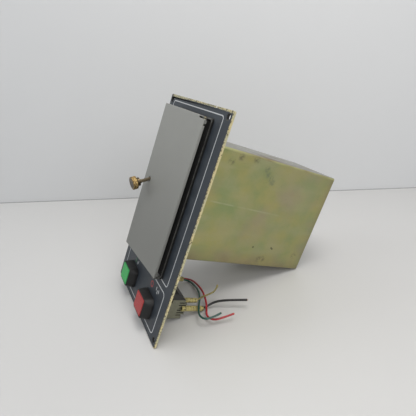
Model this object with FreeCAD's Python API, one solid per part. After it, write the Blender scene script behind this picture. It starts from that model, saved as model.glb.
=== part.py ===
import FreeCAD
import Part
import math
import os

os.makedirs("parts", exist_ok=True)

V = FreeCAD.Vector

# driving dimensions, millimetres; X right, Y back into the enclosure, Z up
panelWidth = 182.0
panelHeight = 300.0
plateThick = 3.0
cornerHole = 3.3
cornerX = 83.5
cornerZ = 142.5
filmThick = 0.3
sheet = 1.2

boxLeft = -55.2
boxRight = 40.0
boxDepth = 238.9
boxBottom = -49.9
boxTop = 109.4
openingLeft = -22.0
openingRight = 35.0
openingBottom = -42.0
openingTop = 103.0
starterShift = -7.6
starterSeat = 227.3

rimLeft = -48.5
rimRight = 56.2
rimBottom = -71.5
rimTop = 135.3
rimThick = 2.2
rimFront = -5.7

doorLeft = -46.6
doorRight = 54.4
doorBottom = -72.0
doorTop = 132.0
doorCrest = 135.0
doorFront = -15.5
doorAjar = 6.0
hingeX = 49.4
hingeY = -11.6
pinRadius = 1.5

screwX = -31.5
screwZ = 32.4
screwDroop = 25.0
shaftRadius = 2.3
knobRadius = 8.8
neckRadius = 2.9
drawOut = 8.4

buttonX = 38.0
buttonZ = -120.0
bezelWide = 40.0
bezelTall = 32.0
bezelCorner = 9.0
capWidth = 27.0
capHeight = 23.5
capFront = -16.6
buttonTravel = 3.0

thickWire = 1.65
middleWire = 1.4
thinWire = 1.2


def block(x0, x1, y0, y1, z0, z1):
    return Part.makeBox(x1 - x0, y1 - y0, z1 - z0, V(x0, y0, z0))


def rod(x, y, z, radius, length, axis=V(0, 1, 0)):
    return Part.makeCylinder(radius, length, V(x, y, z), axis)


def fuse(shapes):
    whole = shapes[0]
    for shape in shapes[1:]:
        whole = whole.fuse(shape)
    return whole.removeSplitter()


def cut(shape, tools):
    for tool in tools:
        shape = shape.cut(tool)
    return shape


def uprights(shape, radius, axis="y"):
    # rounds the edges that run along the given axis
    picked = []
    for edge in shape.Edges:
        a = edge.Vertexes[0].Point
        b = edge.Vertexes[-1].Point
        d = b - a
        along = abs(getattr(d, axis))
        if along > 0.01 and abs(d.Length - along) < 0.001:
            picked.append(edge)
    return shape.makeFillet(radius, picked)


def plaque(x0, x1, y0, y1, z0, z1, radius):
    return uprights(block(x0, x1, y0, y1, z0, z1), radius)


def ring(x0, x1, z0, z1, y0, y1, wall, radius):
    outer = plaque(x0, x1, y0, y1, z0, z1, radius)
    inner = plaque(x0 + wall, x1 - wall, y0 - 1, y1 + 1, z0 + wall, z1 - wall, max(radius - wall, 0.3))
    return outer.cut(inner)


def roundedLoop(cx, cz, y, hx, hz, radius):
    # rectangle with rounded corners that faces along Y
    edges = []
    corners = ((1, 1, 0), (-1, 1, 90), (-1, -1, 180), (1, -1, 270))
    arcs = []
    for sx, sz, a0 in corners:
        centre = V(cx + sx * (hx - radius), y, cz + sz * (hz - radius))
        pts = []
        for a in (a0, a0 + 45, a0 + 90):
            t = math.radians(a)
            pts.append(centre + V(radius * math.cos(t), 0, radius * math.sin(t)))
        arcs.append(pts)
    for i in range(4):
        edges.append(Part.Arc(*arcs[i]).toShape())
        edges.append(Part.makeLine(arcs[i][2], arcs[(i + 1) % 4][0]))
    return Part.Wire(edges)


def taper(cx, cz, back, front):
    # ruled taper between two rounded rectangles: depth, half width, half height, corner radius
    loops = [roundedLoop(cx, cz, y, hx, hz, radius) for y, hx, hz, radius in (back, front)]
    return Part.makeLoft(loops, True, True)


def hexagon(x, y, z, radius, length):
    pts = []
    for k in range(7):
        a = math.pi * k / 3
        pts.append(V(x + radius * math.cos(a), y, z + radius * math.sin(a)))
    return Part.Face(Part.makePolygon(pts)).extrude(V(0, length, 0))


def screwHead(x, y, z, radius, height, slotWide):
    # cheese head facing -Y with a driver slot
    head = rod(x, y, z, radius, height)
    half = slotWide / 2
    return head.cut(block(x - radius, x + radius, y - 0.1, y + height * 0.45, z - half, z + half))


def routed(name, points, radius):
    # round lead along straight runs joined by tangent arcs
    pts = [V(*p) for p in points]
    edges = []
    start = pts[0]
    tightest = 1e9
    for i in range(1, len(pts) - 1):
        u = pts[i] - pts[i - 1]
        w = pts[i + 1] - pts[i]
        half = u.getAngle(w) / 2
        reach = 0.45 * min(u.Length, w.Length)
        bend = reach / math.tan(half)
        tightest = min(tightest, bend)
        u.normalize()
        w.normalize()
        a = pts[i] - u * reach
        b = pts[i] + w * reach
        inward = w - u
        inward.normalize()
        mid = pts[i] + inward * (bend / math.cos(half) - bend)
        edges.append(Part.makeLine(start, a))
        edges.append(Part.Arc(a, mid, b).toShape())
        start = b
    edges.append(Part.makeLine(start, pts[-1]))
    path = Part.Wire(edges)
    profile = Part.Wire([Part.makeCircle(radius, pts[0], pts[1] - pts[0])])
    tube = path.makePipeShell([profile], True, True)
    fill = tube.Volume / (path.Length * math.pi * radius * radius)
    print(name, "length %.1f tightest %.1f fill %.3f" % (path.Length, tightest, fill))
    return tube


def spring(cx, cy, cz, radius, wire, length, turns):
    # compression spring along +Y from its front end, ten short straight runs to the turn
    points = []
    for i in range(turns * 10 + 1):
        a = math.pi * i / 5
        along = cy + length * i / (turns * 10)
        points.append(V(cx + radius * math.cos(a), along, cz + radius * math.sin(a)))
    path = Part.makePolygon(points)
    run = points[1] - points[0]
    out = V(1, 0, 0)
    side = run.cross(out)
    side.normalize()
    out = side.cross(run)
    out.normalize()
    section = []
    for k in range(7):
        a = math.pi * k / 3
        section.append(points[0] + out * (wire * math.cos(a)) + side * (wire * math.sin(a)))
    return path.makePipeShell([Part.makePolygon(section)], True, False, 1)


def sleeved(a, b, outer, inner):
    a = V(*a)
    b = V(*b)
    d = b - a
    return Part.makeCylinder(outer, d.Length, a, d).cut(Part.makeCylinder(inner, d.Length, a, d))


def save(name, shapes):
    if not isinstance(shapes, list):
        shapes = [shapes]
    solids = []
    for shape in shapes:
        solids.extend(shape.Solids)
    for solid in solids:
        if not solid.isValid():
            print("invalid", name)
    body = solids[0] if len(solids) == 1 else Part.makeCompound(solids)
    body.exportStep("parts/%s.step" % name)
    print(name, len(solids), "volume %.0f" % body.Volume)


def swing(shape):
    # door pieces are drawn closed and stand ajar
    shape = shape.copy()
    shape.rotate(V(hingeX, hingeY, 0), V(0, 0, 1), doorAjar)
    return shape


def stow(name, shapes):
    # starter pieces are drawn about x = 0 with their seat at a fixed depth, then moved to the back wall
    if not isinstance(shapes, list):
        shapes = [shapes]
    offset = V(starterShift, boxDepth - sheet - 2.5 - starterSeat, 0)
    moved = [shape.copy() for shape in shapes]
    for shape in moved:
        shape.translate(offset)
    save(name, moved)


# front panel: zinc plated plate with the access opening, button holes and corner holes
face = -plateThick
plate = uprights(block(-91, 91, face, 0, -150, 150), 2.0)
corners = [rod(x, face - 1, z, cornerHole, 6) for x in (-cornerX, cornerX) for z in (-cornerZ, cornerZ)]
buttonHoles = [rod(x, face - 1, buttonZ, 15.25, 6) for x in (-buttonX, buttonX)]
access = plaque(openingLeft, openingRight, face - 1, 1, openingBottom, openingTop, 4.0)
studSpots = [(x, z) for x in (boxLeft - 5.4, boxRight + 5.4) for z in (-32.0, 30.0, 92.0)]
studSpots += [(x, z) for x in (-30.0, 15.0) for z in (boxBottom - 5.4, boxTop + 5.4)]
studHoles = [rod(x, -2.0, z, 2.0, 3) for x, z in studSpots]
bushHole = rod(screwX, face - 1, screwZ, 3.5, 6)
save("front_panel", cut(plate, corners + buttonHoles + [access, bushHole] + studHoles))

# printed film on the front, cut back around the rim and a little short at the top edge
film = block(-90, 90, face - filmThick, face, -149.3, 148.2)
film = uprights(film, 2.5)
footRoom = block(hingeX - 3.9, hingeX + 3.9, -6, 0, doorBottom - 2.6, rimBottom)
film = cut(film, [block(rimLeft - 0.5, rimRight + 0.5, -5, 0, rimBottom - 0.5, rimTop + 0.5), footRoom])
film = cut(film, [rod(x, -6, z, 4.2, 6) for x in (-cornerX, cornerX) for z in (-cornerZ, cornerZ)])
film = cut(film, [rod(x, -6, buttonZ, 15.6, 6) for x in (-buttonX, buttonX)])
save("panel_overlay", film)

# thin printed border lines and start / stop marks standing on the film
inkBack = face - filmThick
inkFront = inkBack - 0.08
upperLine = ring(-75.6, 75.0, -73.6, 142.6, inkFront, inkBack, 1.2, 5.0)
upperLine = upperLine.cut(block(rimLeft - 0.6, rimRight + 0.6, -6, 0, rimBottom - 0.6, rimTop + 0.6))
upperLine = upperLine.cut(footRoom)
lowerLine = ring(-77.0, 75.2, -142.0, -81.5, inkFront, inkBack, 1.2, 6.0)
startMark = block(-41.2, -38.8, inkFront, inkBack, -101.5, -93.5)
stopMark = rod(33.5, inkFront, -92.5, 4.6, 0.08).cut(rod(33.5, inkFront - 1, -92.5, 2.6, 2))
ticks = [block(x, x + 1.4, inkFront, inkBack, z, z + 4.6) for x, z in ((-34.0, -101.5), (-30.8, -99.0))]
tickSpots = ((49.0, -92.0), (53.0, -95.0), (57.0, -92.5))
ticks += [block(x, x + 1.5, inkFront, inkBack, z, z + 5.0) for x, z in tickSpots]
save("panel_print", [upperLine, lowerLine, startMark, stopMark] + ticks)

# raised rim around the access opening, with two hinge ears at the right hand corners
rim = ring(rimLeft, rimRight, rimBottom, rimTop, rimFront, face, rimThick, 4.0)
ears = []
for z in (doorTop + 0.9, doorBottom - 2.1):
    ear = block(hingeX - 3.4, hingeX + 3.4, hingeY, face, z, z + 1.2)
    ear = ear.fuse(rod(hingeX, hingeY, z, 3.4, 1.2, V(0, 0, 1)))
    ears.append(ear.cut(rod(hingeX, hingeY, z - 1, pinRadius + 0.1, 4, V(0, 0, 1))))
lowFoot = block(hingeX - 3.4, hingeX + 3.4, rimFront, face, doorBottom - 2.1, rimBottom + 1.0)
save("door_rim", fuse([rim, lowFoot] + ears))

# black foam seal glued to the plate inside the rim
seal = ring(rimLeft + rimThick, rimRight - rimThick, rimBottom + rimThick, rimTop - rimThick,
            face - 2.2, face, 13.0, 2.0)
sealCuts = [rod(screwX, -8, screwZ, 7.0, 8)]
sealCuts.append(block(hingeX - 3.6, hingeX + 3.6, -8, 0, doorTop + 0.7, rimTop))
save("rim_seal", cut(seal, sealCuts))

# weld nut behind the plate that takes the thumbscrew
nut = Part.makeCylinder(3.45, plateThick + 0.5, V(screwX, face, screwZ), V(0, 1, 0))
nut = nut.fuse(Part.makeCylinder(5.5, 3.5, V(screwX, 0, screwZ), V(0, 1, 0)))
nut = nut.cut(rod(screwX, face - 1, screwZ, shaftRadius + 0.1, 10))
save("weld_nut", nut)

# access door: shallow pan with corner reliefs at the hinge side
pan = uprights(block(doorLeft, doorRight, doorFront, doorFront + 7.0, doorBottom, doorCrest), 1.0)
pan = pan.cut(block(doorLeft + sheet, doorRight - sheet, doorFront + sheet, 0,
                    doorBottom + sheet, doorCrest - sheet))
pan = pan.cut(block(doorRight - 3.0, doorRight + 1, doorFront + 3.4, 0, doorBottom - 1, doorTop + 1))
pan = pan.cut(block(hingeX - 7.4, doorRight + 1, doorFront - 1, 0, doorTop, doorCrest + 1))
notches = []
for z0, z1 in ((doorTop - 7.0, doorTop - sheet), (doorBottom + sheet, doorBottom + 7.0)):
    notches.append(block(doorRight - 3.0, doorRight + 1, doorFront + sheet, 0, z0, z1))
notches.append(rod(screwX, doorFront - 1, screwZ, 3.2, 4))
pins = []
for z0, z1 in ((doorTop - 6.0, doorTop + 2.6), (doorBottom - 2.6, doorBottom + 6.0)):
    notches.append(rod(hingeX, hingeY, z0, pinRadius, z1 - z0, V(0, 0, 1)))
    pins.append(swing(rod(hingeX, hingeY, z0, pinRadius, z1 - z0, V(0, 0, 1))))
bosses = []
for z0 in (doorTop - 5.0, doorBottom + sheet):
    bosses.append(rod(hingeX, hingeY, z0, 2.9, 3.8, V(0, 0, 1)))
save("door_pan", swing(cut(fuse([pan] + bosses), notches)))
save("hinge_pins", pins)

# thumbscrew: knurled knob, shoulder collar and captive shaft, hanging in its clearance hole
seat = doorFront - drawOut
shaft = rod(screwX, seat - 15.8, screwZ, shaftRadius, 28.8)
shaft = fuse([shaft, rod(screwX, seat - 10.4, screwZ, neckRadius, 6.4)])
knob = rod(screwX, seat - 17.4, screwZ, knobRadius, 7.0)
knob = knob.makeFillet(0.7, knob.Edges)
grooves = []
for i in range(28):
    a = 2 * math.pi * i / 28
    reach = knobRadius + 0.25
    grooves.append(rod(screwX + reach * math.cos(a), seat - 16.6, screwZ + reach * math.sin(a), 0.55, 5.4))
knob = cut(knob, grooves)
knob = knob.cut(rod(screwX, seat - 15.8, screwZ, shaftRadius, 10))
collar = rod(screwX, seat - 9.4, screwZ, 5.8, 3.4)
collar = collar.makeFillet(0.5, collar.Edges)
collar = collar.cut(rod(screwX, seat - 10, screwZ, neckRadius + 0.05, 8))

# curved washer on the shaft behind the door, rocking about the middle of the clearance hole
rockY = doorFront + sheet / 2
clip = rod(screwX - 4.6, rockY, screwZ, 3.8, 9.2, V(1, 0, 0))
clip = clip.cut(rod(screwX - 5, rockY, screwZ, 3.2, 10, V(1, 0, 0)))
clip = clip.common(block(screwX - 5, screwX + 5, rockY + 2.2, rockY + 5, screwZ - 3, screwZ + 3))
clip = clip.cut(rod(screwX, rockY, screwZ, shaftRadius + 0.08, 6))
for name, shape in (("thumbscrew_shaft", shaft), ("thumbscrew_knob", knob),
                    ("thumbscrew_collar", collar), ("retaining_clip", clip)):
    shape.rotate(V(screwX, rockY, screwZ), V(1, 0, 0), screwDroop)
    save(name, swing(shape))

# two push button operators, each with cap, bezel, spring, locknut and contact block
fixed = []
screws = []
locks = []
sleeves = []
# marker sleeves: offset from the operator centre, height, outer and inner radius, far end
startSleeves = ((9.0, -108.3, 3.4, 1.8, 56.0), (18.6, -114.2, 3.9, 3.25, 72.8))
stopSleeves = ((9.0, -108.3, 3.4, 1.8, 64.5), (18.6, -115.0, 3.8, 2.2, 72.5))
for side, name, spots in ((-1, "start", startSleeves), (1, "stop", stopSleeves)):
    cx = side * buttonX
    base = inkFront - 0.02
    skirt = (base - 4.5, bezelWide / 2 - 0.5, bezelTall / 2 - 0.4, bezelCorner)
    foot = taper(cx, buttonZ, (base, bezelWide / 2, bezelTall / 2, bezelCorner), skirt)
    nose = taper(cx, buttonZ, skirt, (-16.0, capWidth / 2 + 1.9, capHeight / 2 + 1.9, 3.5))
    barrel = rod(cx, base, buttonZ, 15.0, 16.0 - base)
    bezel = fuse([foot, nose, barrel])
    well = block(cx - capWidth / 2 - 0.3, cx + capWidth / 2 + 0.3, -18, -6.0,
                 buttonZ - capHeight / 2 - 0.3, buttonZ + capHeight / 2 + 0.3)
    bore = rod(cx, -7, buttonZ, 8.0, 21)
    guide = rod(cx, 13, buttonZ, 4.1, 5)
    save("%s_bezel" % name, cut(bezel, [well, bore, guide]))

    cap = uprights(block(cx - capWidth / 2, cx + capWidth / 2, capFront, capFront + 7.0,
                         buttonZ - capHeight / 2, buttonZ + capHeight / 2), 1.0)
    cap = cap.makeFillet(0.6, [e for e in cap.Edges if e.BoundBox.YMax < capFront + 0.01])
    stem = rod(cx, capFront + 6.0, buttonZ, 4.0, 21.0 - capFront - 6.0)
    save("%s_cap" % name, fuse([cap, stem]))

    coil = spring(cx, capFront + 7.55, buttonZ, 6.0, 0.5, 22.5, 5)
    save("%s_spring" % name, coil)

    # contact block: clamped to the rear of the barrel, sitting a little high
    x0 = cx - 17.0
    x1 = cx + 19.0
    body = block(x0, x1, 16.0, 41.5, -131.0, -102.0)
    cheek = block(x1 - 12.0, x1, 41.5, 45.0, -126.0, -107.0)
    body = fuse([body, cheek])
    body = body.cut(block(x0 + 3, x1 - 3, 22.0, 31.2, -128.0, -101.0))
    body = body.cut(rod(cx, 15, buttonZ, 4.3, 8))
    slots = []
    for z in (-126.6, -122.8, -119.0, -111.0, -107.4):
        slots.append(block(x1 - 1.6, x1 + 1, 33.0, 46.0, z, z + 1.7))
    slots.append(block(x1 - 1.6, x1 + 1, 18.0, 22.5, -106.5, -102.0))
    wireHoles = [rod(cx + k, 38.5, z, outer + 0.05, 8) for k, z, outer, inner, reach in spots]
    save("%s_block" % name, cut(body, slots + wireHoles))

    profile = ((16, -102), (16, -92.5), (28, -92.5), (41, -101.2), (41, -102), (16, -102))
    crown = Part.Face(Part.makePolygon([V(x0, y, z) for y, z in profile])).extrude(V(36, 0, 0))
    crown = crown.cut(block(x0 + 3, x1 - 3, 22.0, 28.0, -103.0, -95.5))
    save("%s_crown" % name, crown)

    # moving bridge carried by the plunger, fixed contacts and their terminal screws
    bridge = block(cx - 11.0, cx + 11.0, 22.8, 24.0, buttonZ - 3, buttonZ + 3)
    bridge = bridge.fuse(rod(cx, 21.0, buttonZ, 3.0, 2.0))
    for k in (-1, 1):
        bridge = bridge.fuse(rod(cx + k * 8.6, 24.0, buttonZ, 1.4, 1.0))
        bar = block(cx + k * 10.0 - 3, cx + k * 10.0 + 3, 30.0, 31.2, -127.0, -104.0)
        fixed.append(fuse([bar, rod(cx + k * 8.6, 28.1, buttonZ, 1.4, 1.9)]))
        screws.append(screwHead(cx + k * 10.0, 27.0, -108.0, 2.4, 3.0, 0.8))
    save("%s_bridge" % name, bridge.removeSplitter())

    lock = hexagon(cx, 0, buttonZ, 21.0, 4.5)
    locks.append(lock.cut(rod(cx, -1, buttonZ, 15.15, 8)))
    for k, z, outer, inner, reach in spots:
        sleeves.append(sleeved((cx + k, 38.5, z), (cx + k, reach, z), outer, inner))
save("block_contacts", fixed)
save("block_terminals", screws)
save("locknuts", locks)
save("marker_sleeves", sleeves)

# deep folded enclosure held to the back of the panel on ten studs
shell = block(boxLeft, boxRight, 0, boxDepth, boxBottom, boxTop)
flange = block(boxLeft - 10, boxRight + 10, 0, sheet, boxBottom - 10, boxTop + 10)
room = block(boxLeft + sheet, boxRight - sheet, -1, boxDepth - sheet, boxBottom + sheet, boxTop - sheet)
shell = fuse([shell, flange]).cut(room)
shellCuts = [rod(x, -1, z, 2.0, 4) for x, z in studSpots]
shellCuts.append(rod(0, 60, boxBottom - 1, 11.0, 4, V(0, 0, 1)))
save("enclosure", cut(shell, shellCuts))
save("panel_studs", [rod(x, -2.0, z, 1.95, 8.0) for x, z in studSpots])
nuts = []
for x, z in studSpots:
    nuts.append(hexagon(x, sheet, z, 4.0, 3.2).cut(rod(x, 0, z, 2.0, 8)))
save("flange_nuts", nuts)

# cable grommet in the floor of the enclosure
grommet = rod(0, 60, boxBottom - 1.6, 13.5, 4.4, V(0, 0, 1))
grommet = grommet.cut(rod(0, 60, boxBottom - 3, 7.5, 8, V(0, 0, 1)))
groove = rod(0, 60, boxBottom, 20, sheet, V(0, 0, 1)).cut(rod(0, 60, boxBottom - 1, 11.0, 4, V(0, 0, 1)))
save("grommet", grommet.cut(groove))

# starter mounting plate spot welded to the back wall
plateFace = starterSeat
backFace = starterSeat + 2.5
poles = (-18.0, 0.0, 18.0)
starterHoles = [(x, z) for x in (-26.0, 26.0) for z in (19.0, 103.0)]
mount = plaque(-38, 38, plateFace, backFace, -38, 107, 3.0)
mount = cut(mount, [rod(x, plateFace - 1, z, 1.9, 5) for x, z in starterHoles])
stow("mount_plate", mount)

# contactor base holds the fixed magnet and coil
base = block(-32, 32, 187.0, plateFace, 24, 98)
base = base.cut(block(-28.5, 28.5, 186, plateFace - 4, 28, 94))
feet = [block(x - 6, x + 6, plateFace - 3, plateFace, z0, z1)
        for x in (-26.0, 26.0) for z0, z1 in ((15.5, 24.0), (98.0, 106.5))]
base = fuse([base] + feet)
base = cut(base, [rod(x, plateFace - 5, z, 2.1, 6) for x, z in starterHoles])
stow("contactor_base", base)

footScrews = []
for x, z in starterHoles:
    head = screwHead(x, plateFace - 3 - 2.6, z, 3.6, 2.6, 0.9)
    footScrews.append(head.fuse(rod(x, plateFace - 3, z, 1.9, 5.3)))
stow("mounting_screws", footScrews)

coreBack = plateFace - 4
core = block(-10, 10, coreBack - 9, coreBack, 36, 86)
for z0, z1 in ((36, 44), (54, 68), (78, 86)):
    core = core.fuse(block(-10, 10, 199.0, coreBack - 9, z0, z1))
stow("fixed_core", core.removeSplitter())

bobbin = block(-14, 14, 200.0, coreBack - 9.0, 50, 72).cut(block(-10, 10, 199, coreBack, 54, 68))
window = block(-15, 15, 201.5, coreBack - 10.5, 49, 73).cut(block(-12, 12, 199, coreBack, 52, 70))
bobbin = bobbin.cut(window)
stow("coil_bobbin", bobbin)
winding = uprights(block(-16, 16, 201.5, coreBack - 10.5, 48.6, 73.4), 1.5)
winding = winding.cut(block(-12, 12, 199, coreBack, 52, 70))
stow("coil_winding", winding)

# armature and contact carrier travel together
armature = block(-10, 10, 184.0, 192.0, 36, 86)
for z0, z1 in ((36, 44), (54, 68), (78, 86)):
    armature = armature.fuse(block(-10, 10, 192.0, 196.2, z0, z1))
stow("armature", armature.removeSplitter())

carrier = block(-25, 25, 172.0, 176.0, 50, 72)
for x in poles:
    carrier = carrier.fuse(block(x - 4.8, x + 4.8, 154.0, 172.0, 56, 66))
    carrier = carrier.cut(block(x - 3.1, x + 3.1, 158.0, 162.4, 55, 67))
carrier = carrier.fuse(block(-10, 10, 176.0, 184.0, 52, 70))
for x in (-21.0, 21.0):
    carrier = carrier.cut(rod(x, 174.5, 61, 3.9, 3))
stow("contact_carrier", carrier.removeSplitter())

bridges = []
fixed = []
clamps = []
for x in poles:
    bar = block(x - 3, x + 3, 161.0, 162.4, 38, 84)
    for z in (41, 81):
        bar = bar.fuse(rod(x, 162.4, z, 2.0, 1.2))
    bridges.append(bar)
    for z0, z1, z, zs in ((12, 44, 41, 18), (78, 110, 81, 104)):
        lug = block(x - 3.5, x + 3.5, 167.4, 169.0, z0, min(z1, 107.5))
        fixed.append(lug.fuse(rod(x, 166.2, z, 2.0, 1.2)))
        clamps.append(screwHead(x, 164.0, zs, 2.8, 3.4, 0.9))
stow("moving_bridges", bridges)
stow("power_contacts", fixed)
stow("power_terminals", clamps)

returns = [spring(x, 174.9, 61, 3.2, 0.35, coreBack - 175.3, 9) for x in (-21.0, 21.0)]
stow("return_springs", returns)

chute = block(-32, 32, 146.0, 187.0, 24, 98)
chute = chute.cut(block(-29.5, 29.5, 148.5, 188, 26.5, 95.5))
barriers = []
for x in (-9.0, 9.0):
    barriers.append(block(x - 0.8, x + 0.8, 148.5, 169.5, 26.5, 52.0))
    barriers.append(block(x - 0.8, x + 0.8, 148.5, 169.5, 70.0, 95.5))
chute = fuse([chute] + barriers)
chute = cut(chute, [block(x - 3.5, x + 3.5, 167.4, 169.0, z0, z1)
                    for x in poles for z0, z1 in ((20, 28), (94, 100))])
vents = [block(x - 5, x + 5, 145, 149, z, z + 2) for x in poles for z in (34, 39, 81, 86)]
stow("arc_cover", cut(chute, vents))

# overload relay under the contactor
relay = block(-30, 30, 158.0, plateFace, -36, 8)
relay = relay.cut(block(-27.5, 27.5, 160.5, plateFace - 3, -33.5, 5.5))
relay = relay.fuse(block(11, 28, 173.8, 175.0, -17, -11))
relay = cut(relay, [rod(16, 157, -14, 4.4, 4), rod(-14, 157, -14, 2.4, 5)])
relay = cut(relay, [block(x - 3.2, x + 3.2, 169.0, 170.6, 5, 12) for x in poles])
relay = cut(relay, [block(x - 3.2, x + 3.2, 172.0, 173.6, -38, -32) for x in poles])
stow("overload_housing", relay)

heaters = []
links = []
tails = []
for x in poles:
    heaters.append(block(x - 2.5, x + 2.5, 180.0, 181.0, -26, 2).fuse(rod(x, 181.0, -12, 4.5, 14)))
    link = block(x - 3.2, x + 3.2, 169.0, 170.6, 0, 22.5)
    links.append(link.fuse(block(x - 3.2, x + 3.2, 169.0, 180.0, 0, 1.4)).removeSplitter())
    tail = block(x - 3.2, x + 3.2, 172.0, 173.6, -42.5, -25)
    tails.append(tail.fuse(block(x - 3.2, x + 3.2, 173.6, 180.0, -26.4, -25)).removeSplitter())
stow("heaters", heaters)
stow("overload_links", links)
stow("load_lugs", tails)
stow("load_terminals", [screwHead(x, 169.0, -39.2, 2.6, 3.0, 0.9) for x in poles])

reset = rod(16, 151.0, -14, 4.0, 12.0).fuse(rod(16, 160.6, -14, 5.6, 1.5))
stow("reset_button", reset.removeSplitter())
resetCoil = spring(16, 163.4, -14, 3.0, 0.35, 10.0, 4)
stow("reset_spring", resetCoil)

dial = rod(-14, 154.5, -14, 6.5, 3.2)
dial = dial.cut(block(-20, -8, 154.0, 155.6, -14.6, -13.4))
dial = dial.fuse(rod(-14, 157.7, -14, 2.1, 4.5)).removeSplitter()
stow("trip_dial", dial)

# four cut-off control leads and their marker sleeves
redRoute = [(-20.9, 38.5, -114.2), (-20.9, 57.0, -114.4), (-20.9, 80.5, -114.1), (-3.5, 82.5, -106.8),
            (25.2, 82.9, -103.6), (51.9, 77.6, -105.8), (65.1, 72.8, -109.8), (76.8, 68.2, -113.2),
            (87.9, 73.5, -111.0), (90.7, 85.3, -104.6), (93.4, 97.4, -96.6)]
greenRoute = [(-17.9, 38.5, -114.2), (-17.9, 57.0, -114.4), (-17.9, 79.0, -114.1), (2.2, 80.4, -109.4),
              (22.3, 79.8, -107.8), (43.1, 72.7, -109.4), (64.6, 59.9, -110.2), (78.7, 56.1, -112.7),
              (89.4, 63.8, -109.2), (88.5, 80.0, -99.1)]
blackRoute = [(56.6, 38.5, -115.0), (56.6, 56.0, -115.2), (56.6, 74.0, -114.9), (56.2, 82.0, -109.0),
              (57.4, 88.5, -103.2), (62.5, 97.5, -97.0), (71.0, 110.5, -90.2), (80.4, 123.0, -83.4)]
oliveRoute = [(47.0, 38.5, -108.3), (47.0, 52.0, -108.5), (47.0, 65.5, -108.1), (47.2, 73.0, -101.0),
              (50.2, 79.5, -96.0), (49.8, 89.2, -88.8), (45.4, 91.4, -83.0)]
for name, route, radius in (("wire_red", redRoute, middleWire), ("wire_green", greenRoute, middleWire),
                            ("wire_black", blackRoute, thickWire), ("wire_olive", oliveRoute, thinWire)):
    save(name, routed(name, route, radius))
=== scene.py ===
import math
import bpy
from mathutils import Matrix, Vector


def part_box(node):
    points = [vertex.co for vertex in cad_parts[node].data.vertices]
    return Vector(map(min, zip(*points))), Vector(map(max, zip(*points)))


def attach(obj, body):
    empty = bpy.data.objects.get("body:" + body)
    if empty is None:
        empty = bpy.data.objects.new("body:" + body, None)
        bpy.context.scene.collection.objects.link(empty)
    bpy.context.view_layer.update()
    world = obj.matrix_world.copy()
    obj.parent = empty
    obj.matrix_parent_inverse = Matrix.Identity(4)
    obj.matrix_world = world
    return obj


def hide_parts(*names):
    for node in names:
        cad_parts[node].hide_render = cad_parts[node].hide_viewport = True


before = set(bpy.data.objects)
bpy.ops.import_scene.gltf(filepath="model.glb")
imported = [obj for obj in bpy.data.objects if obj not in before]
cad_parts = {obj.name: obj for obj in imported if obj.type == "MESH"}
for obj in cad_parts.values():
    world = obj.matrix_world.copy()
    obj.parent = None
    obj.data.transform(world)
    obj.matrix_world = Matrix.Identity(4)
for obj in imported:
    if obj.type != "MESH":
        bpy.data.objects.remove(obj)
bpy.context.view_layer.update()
context = bpy.context

# camera
camera = {
    "place": (0.40662, -0.19351, 0.13698),
    "right": (0.43492, 0.84303, 0.31645),
    "up": (-0.37049, -0.15277, 0.91618),
    "lens": 29.82,
    "sensor": 36,
    "nearest": 0.01,
}
right = Vector(camera["right"])
up = Vector(camera["up"])
facing = Matrix((right, up, right.cross(up))).transposed().to_4x4()
bpy.ops.object.camera_add()
viewer = context.active_object
viewer.name = "viewer"
viewer.data.lens = camera["lens"]
viewer.data.sensor_width = camera["sensor"]
viewer.data.clip_start = camera["nearest"]
viewer.matrix_world = Matrix.Translation(camera["place"]) @ facing
context.scene.camera = viewer
context.scene.view_settings.view_transform = "Standard"


class Value:
    # a shader value that can be added, multiplied and compared like a number
    def __init__(self, paint, socket):
        self.paint = paint
        self.socket = socket

    def __add__(self, other):
        return self.paint.maths("ADD", self, other)

    def __radd__(self, other):
        return self.paint.maths("ADD", other, self)

    def __sub__(self, other):
        return self.paint.maths("SUBTRACT", self, other)

    def __rsub__(self, other):
        return self.paint.maths("SUBTRACT", other, self)

    def __mul__(self, other):
        return self.paint.maths("MULTIPLY", self, other)

    def __rmul__(self, other):
        return self.paint.maths("MULTIPLY", other, self)

    def __lt__(self, other):
        return self.paint.maths("LESS_THAN", self, other)


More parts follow.
